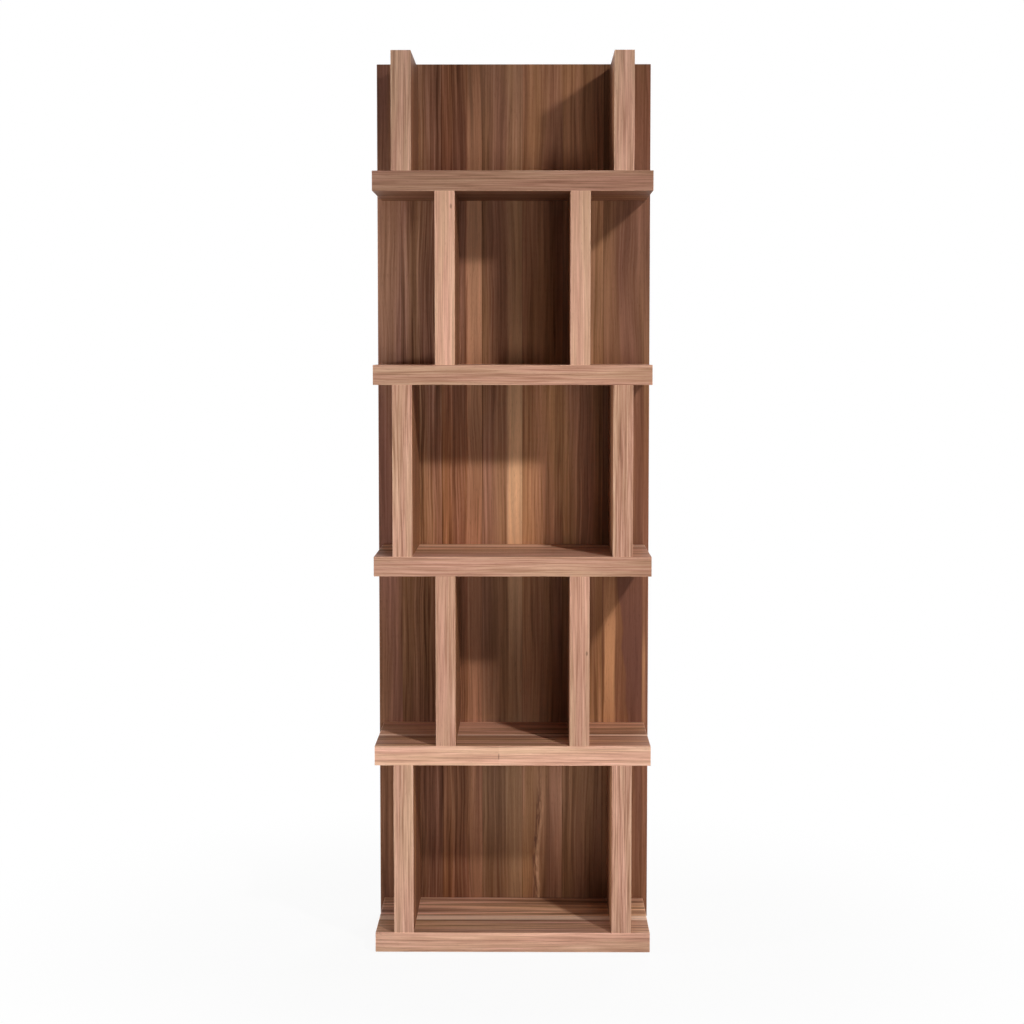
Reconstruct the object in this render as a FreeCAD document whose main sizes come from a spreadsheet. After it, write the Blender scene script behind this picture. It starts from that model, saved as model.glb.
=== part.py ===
import FreeCAD, Part
import os
import re
import Sketcher

# Zigzag bookshelf: five thick shelves on pairs of full-depth uprights, held together by a tall back panel.
# The uprights stand wide and narrow by turns, which gives the front its zigzag.
# Frame: millimetres, +Z up, front towards -Y, origin on the floor under the middle of the whole shelf.

SHELF_COUNT = 5
SIDES = {"left": -1, "right": 1}

# Driving dimensions, in the order in which the sheet lists them.
SIZES = {
    "board_thickness": "44",
    "bay_height": "380",
    "crown_height": "260",
    "shelf_width": "616",
    "board_depth": "308",
    "outer_inset": "42",
    "inner_inset": "137",
    "lipping_thickness": "6",
    "panel_thickness": "22",
    "panel_reveal": "10",
    "arris_radius": "1",
    "dowel_diameter": "10",
    "dowel_in_upright": "32",
    "dowel_in_shelf": "22",
    "dowel_chamfer": "1.5",
    "dowel_fit": "0.1",
    "dowel_end_room": "1.5",
    "dowel_front_distance": "50",
    "dowel_land": "8",
    "screw_shank": "5",
    "screw_head": "10",
    "screw_length": "60",
    "screw_tip": "6",
    "screw_socket": "4",
    "screw_socket_depth": "2.5",
    "screw_recess": "0.5",
    "screw_fit": "0.1",
    "screw_hole_fit": "0.4",
    "screw_end_room": "2",
    "shelf_screw_inset": "60",
    "upright_screw_inset": "70",
    "hanger_spacing": "280",
    "hanger_drop": "80",
    "hanger_width": "64",
    "hanger_height": "36",
    "hanger_thickness": "2",
    "hanger_corner": "4",
    "hanger_fit": "0.3",
    "keyhole_entry": "10",
    "keyhole_slot": "5",
    "keyhole_travel": "11",
    "keyhole_room": "8",
    "keyhole_side_room": "2",
    "hanger_screw_spacing": "46",
    "hanger_screw_shank": "3.5",
    "hanger_screw_head": "6.5",
    "hanger_screw_cover": "6",
    "hanger_screw_tip": "4",
    "hanger_screw_cross": "3.6",
    "hanger_screw_cross_width": "0.9",
    "hanger_screw_cross_depth": "1.1",
    "glide_diameter": "24",
    "glide_height": "3",
    "glide_edge": "0.8",
    "glide_inset": "40",
    "glide_pin": "5",
    "glide_pin_length": "15",
    "glide_pin_tip": "3",
    "glide_fit": "0.05",
    "glide_end_room": "1.5",
}
ALIAS = re.compile(r"\b(" + "|".join(SIZES) + r")\b")

# Two places closer than this are the same place.
SAME = 1e-6
# First value of a sketch constraint, until it is tied to the sheet.
ROUGH = 1.0

# Places and sizes that several pieces share, worked out from the driving dimensions.
FRONT = "(-(board_depth + panel_thickness) / 2)"
PANEL_FRONT = "((board_depth - panel_thickness) / 2)"
PANEL_REAR = "((board_depth + panel_thickness) / 2)"
CORE_DEPTH = "(board_depth - lipping_thickness)"
CORE_MIDDLE = f"({FRONT} + lipping_thickness + {CORE_DEPTH} / 2)"
LEVEL_PITCH = "(board_thickness + bay_height)"
PANEL_HEIGHT = f"({SHELF_COUNT - 1} * {LEVEL_PITCH} + board_thickness + crown_height + panel_reveal)"
SCREW_BITE = "(screw_recess + screw_length - panel_thickness)"
PILOT_DEPTH = f"({SCREW_BITE} + screw_end_room)"
PILOT_HOLE = "(screw_shank + 2 * screw_fit)"
REAR_OF_CORE = f"(-{CORE_DEPTH} / 2)"
DOWEL_LENGTH = "(dowel_in_shelf + dowel_in_upright)"
DOWEL_HOLE = "(dowel_diameter + 2 * dowel_fit)"

# Dowel places along the depth of a board, measured from the middle of its core.
# The rear dowel keeps clear of the screws that come in from behind.
DOWEL_FRONT = f"(dowel_front_distance - {CORE_DEPTH} / 2)"
DOWEL_REAR = f"({CORE_DEPTH} / 2 - {PILOT_DEPTH} - dowel_land - dowel_diameter / 2)"
DOWEL_PLACES = [DOWEL_FRONT, f"(({DOWEL_FRONT} + {DOWEL_REAR}) / 2)", DOWEL_REAR]

# A hanger's height is that of the middle of its keyhole's round entry, above the panel's lower edge.
# Its plate's lower edge is measured from there, so that the whole keyhole lies in the middle of the plate.
HANGER_HEIGHT = f"({PANEL_HEIGHT} - hanger_drop)"
PLATE_LOW = "((keyhole_travel + keyhole_slot / 2 - keyhole_entry / 2 - hanger_height) / 2)"
KEYHOLE_LOW = f"({HANGER_HEIGHT} - keyhole_entry / 2 - keyhole_side_room)"
KEYHOLE_HIGH = f"({HANGER_HEIGHT} + keyhole_travel + keyhole_slot / 2 + keyhole_side_room)"
HANGER_SCREW_LENGTH = "(panel_thickness - hanger_screw_cover)"

doc = FreeCAD.newDocument("ZigzagBookshelf")
sheet = doc.addObject("Spreadsheet::Sheet", "Sizes")
for row, (alias, number) in enumerate(SIZES.items(), 1):
    sheet.set(f"A{row}", alias.replace("_", " "))
    sheet.set(f"B{row}", number)
    sheet.setAlias(f"B{row}", alias)
doc.recompute()

subparts = []


def bind(target, property_name, expression):
    """Ties a property to an expression in the sheet's names."""
    target.setExpression(property_name, ALIAS.sub(r"Sizes.\1", expression))


def place(target, x, y, z):
    """Ties an object's position to three expressions."""
    bind(target, "Placement.Base.x", x)
    bind(target, "Placement.Base.y", y)
    bind(target, "Placement.Base.z", z)


def new_body(name):
    body = doc.addObject("PartDesign::Body", name)
    body.Label = name
    return body


def new_sketch(body, plane, offset):
    """A sketch parallel to one of the body's own origin planes, offset along that plane's normal."""
    sketch = body.newObject("Sketcher::SketchObject", f"{body.Name}_sketch")
    support = [item for item in body.Origin.OriginFeatures if item.Role == plane]
    sketch.AttachmentSupport = [(support[0], "")]
    sketch.MapMode = "FlatFace"
    bind(sketch, "AttachmentOffset.Base.z", offset)
    return sketch


def tie(sketch, name, constraint, expression):
    """Adds a constraint to a sketch under a name, and ties its value to an expression."""
    index = sketch.addConstraint(constraint)
    sketch.renameConstraint(index, name)
    bind(sketch, f"Constraints.{name}", expression)


def tie_point(sketch, geometry, point, across, along):
    """Ties both coordinates of one point of a piece of geometry."""
    tie(sketch, f"across_{geometry}", Sketcher.Constraint("DistanceX", geometry, point, ROUGH), across)
    tie(sketch, f"along_{geometry}", Sketcher.Constraint("DistanceY", geometry, point, ROUGH), along)


def draw_outline(sketch, corners):
    """A closed outline of straight lines through corners, each a pair of expressions."""
    first = sketch.GeometryCount
    count = len(corners)
    for index in range(count):
        # A rough start: the ties below bring each corner to its place.
        start = FreeCAD.Vector(index, index**2, 0)
        end = FreeCAD.Vector(index + 1, (index + 1) ** 2, 0)
        sketch.addGeometry(Part.LineSegment(start, end), False)
    for index, (across, along) in enumerate(corners):
        line = first + index
        following = first + (index + 1) % count
        sketch.addConstraint(Sketcher.Constraint("Coincident", line, 2, following, 1))
        tie_point(sketch, line, 1, across, along)


def draw_rectangle(sketch, left, right, low, high):
    draw_outline(sketch, [(left, low), (right, low), (right, high), (left, high)])


def draw_circles(sketch, centres, diameter):
    """Circles of one diameter at centres, each a pair of expressions."""
    for across, along in centres:
        outline = Part.Circle(FreeCAD.Vector(0, 0, 0), FreeCAD.Vector(0, 0, 1), ROUGH)
        circle = sketch.addGeometry(outline, False)
        tie(sketch, f"diameter_{circle}", Sketcher.Constraint("Diameter", circle, ROUGH), diameter)
        tie_point(sketch, circle, 3, across, along)


def pad(body, sketch, length, against_normal=False):
    feature = body.newObject("PartDesign::Pad", f"{body.Name}_pad")
    feature.Profile = sketch
    feature.Reversed = against_normal
    bind(feature, "Length", length)
    doc.recompute()
    return feature


def revolve(body, sketch):
    """Turns an outline about the sketch's own vertical axis."""
    feature = body.newObject("PartDesign::Revolution", f"{body.Name}_turned")
    feature.Profile = sketch
    feature.ReferenceAxis = (sketch, ["V_Axis"])
    feature.Angle = 360
    doc.recompute()
    return feature


def pocket(body, sketch, depth, along_normal):
    """Cuts a sketch into its body, and makes sure that it cut something."""
    before = body.Shape.Volume
    feature = body.newObject("PartDesign::Pocket", f"{body.Name}_cut")
    feature.Profile = sketch
    feature.Reversed = along_normal
    bind(feature, "Length", depth)
    doc.recompute()
    if body.Shape.Volume >= before:
        raise RuntimeError(f"{feature.Name} cuts nothing")
    return feature


def drill(body, plane, offset, centres, diameter, depth, along_normal):
    """Round blind holes of one size, drilled square to an origin plane."""
    sketch = new_sketch(body, plane, offset)
    draw_circles(sketch, centres, diameter)
    return pocket(body, sketch, depth, along_normal)


def same(first, second):
    return abs(first - second) < SAME


def sink(body, feature, rear, hole_radius, width):
    """Countersinks the holes of one radius where they open on the plane y = rear."""
    mouths = []
    for index, edge in enumerate(feature.Shape.Edges, 1):
        if edge.Degenerated or not isinstance(edge.Curve, Part.Circle):
            continue
        if same(edge.CenterOfMass.y, rear) and same(edge.Curve.Radius, hole_radius):
            mouths.append(f"Edge{index}")
    chamfer = body.newObject("PartDesign::Chamfer", f"{body.Name}_countersink")
    chamfer.Base = (feature, mouths)
    bind(chamfer, "Size", width)
    doc.recompute()


def round_edges(body, feature, chosen, radius):
    """Rounds the edges of a feature whose middles pass the test chosen(x, y, z)."""
    names = []
    for index, edge in enumerate(feature.Shape.Edges, 1):
        middle = edge.CenterOfMass
        if chosen(middle.x, middle.y, middle.z):
            names.append(f"Edge{index}")
    fillet = body.newObject("PartDesign::Fillet", f"{body.Name}_arris")
    fillet.Base = (feature, names)
    bind(fillet, "Radius", radius)
    doc.recompute()


def size(alias):
    """The sheet's present value of one driving dimension."""
    return float(sheet.get(alias))


def shelf_underside(level):
    """Height of a shelf's underside above the underside of the lowest shelf."""
    return f"({level - 1} * {LEVEL_PITCH})"


def upright_foot(level):
    """Height of the foot of the uprights on a shelf, above the underside of the lowest shelf."""
    return f"({shelf_underside(level)} + board_thickness)"


def upright_height(level):
    return "crown_height" if level == SHELF_COUNT else "bay_height"


def upright_middle(level, side):
    """Place across the width of the middle of an upright: wide pairs on odd levels, narrow on even ones."""
    inset = "outer_inset" if level % 2 else "inner_inset"
    return f"({side} * (shelf_width / 2 - {inset} - board_thickness / 2))"


def dowel_spots(level):
    """Centres of the dowel holes under the pair of uprights that stand on a shelf."""
    return [(upright_middle(level, side), along) for side in SIDES.values() for along in DOWEL_PLACES]


def shelf_screw_places():
    edge = "(shelf_width / 2 - shelf_screw_inset)"
    return [f"-{edge}", "0", edge]


def upright_screw_heights(level):
    """Heights of an upright's two screws above its foot."""
    return ["upright_screw_inset", f"({upright_height(level)} - upright_screw_inset)"]


def screw_places():
    """Every panel screw as a pair: across the width, and above the underside of the lowest shelf."""
    places = []
    for level in range(1, SHELF_COUNT + 1):
        middle = f"({shelf_underside(level)} + board_thickness / 2)"
        places += [(across, middle) for across in shelf_screw_places()]
        for side in SIDES.values():
            for rise in upright_screw_heights(level):
                places.append((upright_middle(level, side), f"({upright_foot(level)} + {rise})"))
    return places


def shelf(level):
    """Shelf board with blind dowel holes above and below and screw pilots in its rear edge."""
    body = new_body(f"shelf_{level}")
    outline = new_sketch(body, "XY_Plane", "0")
    half = "(shelf_width / 2)"
    draw_rectangle(outline, f"-{half}", half, REAR_OF_CORE, f"-{REAR_OF_CORE}")
    board = pad(body, outline, "board_thickness")
    end = size("shelf_width") / 2
    round_edges(body, board, lambda x, y, z: same(y, 0) and same(abs(x), end), "arris_radius")
    depth = "dowel_in_shelf + dowel_end_room"
    drill(body, "XY_Plane", "board_thickness", dowel_spots(level), DOWEL_HOLE, depth, False)
    if level > 1:
        drill(body, "XY_Plane", "0", dowel_spots(level - 1), DOWEL_HOLE, depth, True)
    else:
        hole = "(glide_pin + 2 * glide_fit)"
        drill(body, "XY_Plane", "0", glide_spots(), hole, "glide_pin_length + glide_end_room", True)
    pilots = [(across, "(board_thickness / 2)") for across in shelf_screw_places()]
    drill(body, "XZ_Plane", REAR_OF_CORE, pilots, PILOT_HOLE, PILOT_DEPTH, True)
    place(body, "0", CORE_MIDDLE, f"glide_height + {shelf_underside(level)}")
    subparts.append(body)


def shelf_lipping(level):
    """Solid strip along the front edge of a shelf, with its corners eased."""
    body = new_body(f"shelf_{level}_lipping")
    outline = new_sketch(body, "XY_Plane", "0")
    half = "(shelf_width / 2)"
    draw_rectangle(outline, f"-{half}", half, "0", "lipping_thickness")
    strip = pad(body, outline, "board_thickness")
    glue_face = size("lipping_thickness")
    round_edges(body, strip, lambda x, y, z: not same(y, glue_face), "arris_radius")
    place(body, "0", FRONT, f"glide_height + {shelf_underside(level)}")
    subparts.append(body)


def upright(level, side_name):
    """Upright board with blind dowel holes in its ends and screw pilots in its rear edge."""
    body = new_body(f"upright_{level}_{side_name}")
    height = upright_height(level)
    is_crown = level == SHELF_COUNT
    outline = new_sketch(body, "XY_Plane", "0")
    half = "(board_thickness / 2)"
    draw_rectangle(outline, f"-{half}", half, REAR_OF_CORE, f"-{REAR_OF_CORE}")
    board = pad(body, outline, height)
    if is_crown:
        top = size(height)
        round_edges(body, board, lambda x, y, z: same(y, 0) and same(z, top), "arris_radius")
    spots = [("0", along) for along in DOWEL_PLACES]
    depth = "dowel_in_upright + dowel_end_room"
    drill(body, "XY_Plane", "0", spots, DOWEL_HOLE, depth, True)
    if not is_crown:
        drill(body, "XY_Plane", height, spots, DOWEL_HOLE, depth, False)
    pilots = [("0", rise) for rise in upright_screw_heights(level)]
    drill(body, "XZ_Plane", REAR_OF_CORE, pilots, PILOT_HOLE, PILOT_DEPTH, True)
    place(body, upright_middle(level, SIDES[side_name]), CORE_MIDDLE, f"glide_height + {upright_foot(level)}")
    subparts.append(body)


def upright_lipping(level, side_name):
    """Solid strip along the front edge of an upright, square at the ends that meet a shelf."""
    body = new_body(f"upright_{level}_{side_name}_lipping")
    height = upright_height(level)
    outline = new_sketch(body, "XY_Plane", "0")
    half = "(board_thickness / 2)"
    draw_rectangle(outline, f"-{half}", half, "0", "lipping_thickness")
    strip = pad(body, outline, height)
    glue_face = size("lipping_thickness")
    top = size(height)
    is_crown = level == SHELF_COUNT

    def shows(x, y, z):
        is_front_corner = same(y, 0) and same(z, top / 2)
        is_upper_edge = same(z, top) and not same(y, glue_face)
        return is_front_corner or (is_crown and is_upper_edge)

    round_edges(body, strip, shows, "arris_radius")
    place(body, upright_middle(level, SIDES[side_name]), FRONT, f"glide_height + {upright_foot(level)}")
    subparts.append(body)


def glide_spots():
    """Centres of the floor glides, measured from the middle of the lowest shelf's core."""
    across = "(shelf_width / 2 - glide_inset)"
    along = f"({CORE_DEPTH} / 2 - glide_inset)"
    return [(f"{sign_x} * {across}", f"{sign_y} * {along}") for sign_x in (-1, 1) for sign_y in (-1, 1)]


def hanger_place(side):
    return f"({side} * hanger_spacing / 2)"


def hanger_screw_spots(middle, height):
    """Centres of a plate's two screws, beside the middle of the plate."""
    level = f"({height} + {PLATE_LOW} + hanger_height / 2)"
    return [(f"({middle} + {side} * hanger_screw_spacing / 2)", level) for side in SIDES.values()]


def back_panel():
    """Tall panel, wider and higher than the shelves by the reveal, bored for its screws and hangers."""
    body = new_body("back_panel")
    outline = new_sketch(body, "XZ_Plane", "0")
    half = "(shelf_width / 2 + panel_reveal)"
    draw_rectangle(outline, f"-{half}", half, "0", PANEL_HEIGHT)
    board = pad(body, outline, "panel_thickness", against_normal=True)
    round_edges(body, board, lambda x, y, z: True, "arris_radius")
    rear = "-panel_thickness"
    clearance = "(screw_shank + 2 * screw_hole_fit)"
    bored = drill(body, "XZ_Plane", rear, screw_places(), clearance, "panel_thickness", True)
    sink_width = "((screw_head - screw_shank) / 2 + screw_recess)"
    hole_radius = size("screw_shank") / 2 + size("screw_hole_fit")
    sink(body, bored, size("panel_thickness"), hole_radius, sink_width)
    for side in SIDES.values():
        middle = hanger_place(side)
        low = f"({HANGER_HEIGHT} + {PLATE_LOW})"
        seat = new_sketch(body, "XZ_Plane", rear)
        half_seat = "(hanger_width / 2 + hanger_fit)"
        draw_rectangle(
            seat,
            f"({middle} - {half_seat})",
            f"({middle} + {half_seat})",
            f"({low} - hanger_fit)",
            f"({low} + hanger_height + hanger_fit)",
        )
        pocket(body, seat, "hanger_thickness", True)
        room = new_sketch(body, "XZ_Plane", rear)
        half_room = "(keyhole_entry / 2 + keyhole_side_room)"
        left = f"({middle} - {half_room})"
        right = f"({middle} + {half_room})"
        draw_rectangle(room, left, right, KEYHOLE_LOW, KEYHOLE_HIGH)
        pocket(body, room, "hanger_thickness + keyhole_room", True)
        pilot = "(hanger_screw_shank + 2 * screw_fit)"
        spots = hanger_screw_spots(middle, HANGER_HEIGHT)
        drill(body, "XZ_Plane", rear, spots, pilot, f"{HANGER_SCREW_LENGTH} + screw_end_room", True)
    place(body, "0", PANEL_FRONT, "glide_height")
    subparts.append(body)


def hanger_plate(side_name):
    """Steel keyhole plate, let flush into the rear of the panel."""
    body = new_body(f"hanger_plate_{side_name}")
    outline = new_sketch(body, "XZ_Plane", "0")
    half = "(hanger_width / 2)"
    draw_rectangle(outline, f"-{half}", half, PLATE_LOW, f"({PLATE_LOW} + hanger_height)")
    plate = pad(body, outline, "hanger_thickness", against_normal=True)
    middle_y = size("hanger_thickness") / 2
    round_edges(body, plate, lambda x, y, z: same(y, middle_y), "hanger_corner")
    rear = "-hanger_thickness"
    drill(body, "XZ_Plane", rear, [("0", "0")], "keyhole_entry", "hanger_thickness", True)
    slot = new_sketch(body, "XZ_Plane", rear)
    draw_rectangle(slot, "(-keyhole_slot / 2)", "(keyhole_slot / 2)", "0", "keyhole_travel")
    pocket(body, slot, "hanger_thickness", True)
    drill(body, "XZ_Plane", rear, [("0", "keyhole_travel")], "keyhole_slot", "hanger_thickness", True)
    hole = "(hanger_screw_shank + 2 * screw_hole_fit)"
    bored = drill(body, "XZ_Plane", rear, hanger_screw_spots("0", "0"), hole, "hanger_thickness", True)
    hole_radius = size("hanger_screw_shank") / 2 + size("screw_hole_fit")
    sink(body, bored, size("hanger_thickness"), hole_radius, "((hanger_screw_head - hanger_screw_shank) / 2)")
    seat = f"({PANEL_REAR} - hanger_thickness)"
    place(body, hanger_place(SIDES[side_name]), seat, f"glide_height + {HANGER_HEIGHT}")
    subparts.append(body)


def turned_piece(name, plane, profile):
    """A piece turned about the sketch's vertical axis, from corners given as (radius, along)."""
    body = new_body(name)
    sketch = new_sketch(body, plane, "0")
    draw_outline(sketch, profile)
    revolve(body, sketch)
    return body


def countersunk_screw(name, shank, head, length, tip):
    """A screw along Y with the flat of its head at the origin and its point towards -Y."""
    cone = f"(({head} - {shank}) / 2)"
    return turned_piece(
        name,
        "XY_Plane",
        [
            ("0", "0"),
            ("0", f"(-{length})"),
            (f"({shank} / 2)", f"({tip} - {length})"),
            (f"({shank} / 2)", f"(-{cone})"),
            (f"({head} / 2)", "0"),
        ],
    )


def panel_screw():
    """Screw with a hexagon socket."""
    body = countersunk_screw("panel_screw", "screw_shank", "screw_head", "screw_length", "screw_tip")
    socket = new_sketch(body, "XZ_Plane", "0")
    corners = []
    for turn in range(6):
        reach = "screw_socket / sqrt(3)"
        corners.append((f"({reach} * cos({60 * turn} deg))", f"({reach} * sin({60 * turn} deg))"))
    draw_outline(socket, corners)
    pocket(body, socket, "screw_socket_depth", True)
    return body


def hanger_screw():
    """Small wood screw with a crosshead."""
    body = countersunk_screw(
        "hanger_screw", "hanger_screw_shank", "hanger_screw_head", HANGER_SCREW_LENGTH, "hanger_screw_tip"
    )
    cross = new_sketch(body, "XZ_Plane", "0")
    arm = "(hanger_screw_cross / 2)"
    half = "(hanger_screw_cross_width / 2)"
    quarter = [(arm, f"-{half}"), (arm, half), (half, half)]
    corners = list(quarter)
    for _ in range(3):
        quarter = [(f"(-{along})", across) for across, along in quarter]
        corners += quarter
    draw_outline(cross, corners)
    pocket(body, cross, "hanger_screw_cross_depth", True)
    return body


def dowel():
    """Wooden dowel along Z with chamfered ends, its lower end at the origin."""
    radius = "(dowel_diameter / 2)"
    slim = f"({radius} - dowel_chamfer)"
    return turned_piece(
        "dowel",
        "XZ_Plane",
        [
            ("0", "0"),
            (slim, "0"),
            (radius, "dowel_chamfer"),
            (radius, f"({DOWEL_LENGTH} - dowel_chamfer)"),
            (slim, DOWEL_LENGTH),
            ("0", DOWEL_LENGTH),
        ],
    )


def glide():
    """Nail-on floor glide along Z, with its sole at the origin."""
    radius = "(glide_diameter / 2)"
    pin = "(glide_pin / 2)"
    return turned_piece(
        "glide",
        "XZ_Plane",
        [
            ("0", "0"),
            (f"({radius} - glide_edge)", "0"),
            (radius, "glide_edge"),
            (radius, "glide_height"),
            (pin, "glide_height"),
            (pin, "(glide_height + glide_pin_length - glide_pin_tip)"),
            ("0", "(glide_height + glide_pin_length)"),
        ],
    )


def group(name, piece, spots):
    """One node of separate like solids: the same piece at each spot, a triple of expressions."""
    copies = []
    for index, spot in enumerate(spots, 1):
        copy = doc.addObject("App::Link", f"{name}_{index}")
        copy.LinkedObject = piece
        place(copy, *spot)
        copies.append(copy)
    compound = doc.addObject("Part::Compound", name)
    compound.Label = name
    compound.Links = copies
    subparts.append(compound)


def dowel_group(level, piece):
    """The dowels in one shelf: those that stand up out of it and those that hang below it."""
    spots = []
    for across, along in dowel_spots(level):
        foot = f"glide_height + {upright_foot(level)} - dowel_in_shelf"
        spots.append((across, f"{CORE_MIDDLE} + {along}", foot))
    if level > 1:
        for across, along in dowel_spots(level - 1):
            foot = f"glide_height + {shelf_underside(level)} - dowel_in_upright"
            spots.append((across, f"{CORE_MIDDLE} + {along}", foot))
    group(f"shelf_{level}_dowels", piece, spots)


back_panel()
one_dowel = dowel()
for shelf_level in range(1, SHELF_COUNT + 1):
    shelf(shelf_level)
    shelf_lipping(shelf_level)
    for side_word in SIDES:
        upright(shelf_level, side_word)
        upright_lipping(shelf_level, side_word)
    dowel_group(shelf_level, one_dowel)

one_panel_screw = panel_screw()
panel_screw_spots = []
for screw_across, screw_rise in screw_places():
    panel_screw_spots.append((screw_across, f"{PANEL_REAR} - screw_recess", f"glide_height + {screw_rise}"))
group("back_panel_screws", one_panel_screw, panel_screw_spots)

one_hanger_screw = hanger_screw()
plate_screw_spots = []
for side_word, side_sign in SIDES.items():
    hanger_plate(side_word)
    for screw_across, screw_rise in hanger_screw_spots(hanger_place(side_sign), HANGER_HEIGHT):
        plate_screw_spots.append((screw_across, PANEL_REAR, f"glide_height + {screw_rise}"))
group("hanger_screws", one_hanger_screw, plate_screw_spots)

one_glide = glide()
glide_group_spots = [(across, f"{CORE_MIDDLE} + {along}", "0") for across, along in glide_spots()]
group("floor_glides", one_glide, glide_group_spots)

doc.recompute()
for item in doc.Objects:
    if "Invalid" in item.State or "Error" in item.State:
        raise RuntimeError(f"{item.Name} failed: {item.State}")
for item in subparts:
    if item.Shape.isNull() or not item.Shape.isValid() or not item.Shape.Solids:
        raise RuntimeError(f"{item.Label} has no valid solid")

os.makedirs("parts", exist_ok=True)
for item in subparts:
    item.Shape.exportStep(f"parts/{item.Label}.step")
whole = FreeCAD.BoundBox()
for item in subparts:
    whole.add(item.Shape.BoundBox)
print(f"{len(subparts)} nodes, {whole.XLength:.1f} x {whole.YLength:.1f} x {whole.ZLength:.1f} mm")
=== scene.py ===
import math

import bmesh
import bpy
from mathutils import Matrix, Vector


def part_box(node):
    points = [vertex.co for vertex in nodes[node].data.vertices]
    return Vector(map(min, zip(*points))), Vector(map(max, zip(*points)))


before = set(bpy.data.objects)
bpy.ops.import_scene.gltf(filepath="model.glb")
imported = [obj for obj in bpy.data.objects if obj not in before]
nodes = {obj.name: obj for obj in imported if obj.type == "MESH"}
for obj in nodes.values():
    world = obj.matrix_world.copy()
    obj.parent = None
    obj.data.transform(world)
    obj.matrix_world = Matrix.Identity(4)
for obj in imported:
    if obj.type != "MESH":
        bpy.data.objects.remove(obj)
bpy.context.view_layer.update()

LEVELS = range(1, 6)
HANDS = ("left", "right")
WHITE = (1.0, 1.0, 1.0)

# Veneer lies in leaves of one width. A seam is where leaf 0 starts on a board, in metres.
LEAF_WIDTH = 0.0945
PANEL_SEAM = 0.0201
SHELF_SEAM = -0.0200
UPRIGHT_SEAM = -0.0550

HALF_LEAF = 0.5
NOISE_MIDDLE = 0.5
STREAK_SPREAD = (0.32, 0.68)
FACING_LIMIT = 0.7
TOP_LIMIT = 0.5


class Wire:
    """A shader value that Python operators combine into Math nodes."""

    def __init__(self, finish, socket):
        self.finish = finish
        self.socket = socket

    def math(self, operation, *terms):
        return self.finish.node("ShaderNodeMath", {"operation": operation}, terms)

    def __add__(self, other):
        return self.math("ADD", self, other)

    def __sub__(self, other):
        return self.math("SUBTRACT", self, other)

    def __rsub__(self, other):
        return self.math("SUBTRACT", other, self)

    def __mul__(self, other):
        return self.math("MULTIPLY", self, other)

    def __truediv__(self, other):
        return self.math("DIVIDE", self, other)

    def __rtruediv__(self, other):
        return self.math("DIVIDE", other, self)

    def __pow__(self, other):
        return self.math("POWER", self, other)

    def __rpow__(self, other):
        return self.math("POWER", other, self)

    def __abs__(self):
        return self.math("ABSOLUTE", self)

    __radd__ = __add__
    __rmul__ = __mul__

    def floor(self):
        return self.math("FLOOR", self)

    def above(self, limit):
        return self.math("GREATER_THAN", self, limit)

    def below(self, limit):
        return self.math("LESS_THAN", self, limit)

    def least(self, other):
        return self.math("MINIMUM", self, other)

    def most(self, other):
        return self.math("MAXIMUM", self, other)

    def is_number(self, number):
        """1 where a whole value is that number, 0 elsewhere."""
        return 1.0 - abs(self - number).above(HALF_LEAF)

    def rise(self, low, high):
        """0 below low, 1 above high, smooth between them."""
        return self.finish.node(
            "ShaderNodeMapRange",
            {"interpolation_type": "SMOOTHSTEP"},
            {"Value": self, "From Min": low, "From Max": high},
        )

    def near(self, middle, full, gone):
        """1 within full of the middle, 0 farther from it than gone, smooth between them."""
        return 1.0 - abs(self - middle).rise(full, gone)

    def band(self, start, full, fade, stop):
        """0 outside start and stop, 1 between full and fade."""
        return self.rise(start, full) * (1.0 - self.rise(fade, stop))


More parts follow.
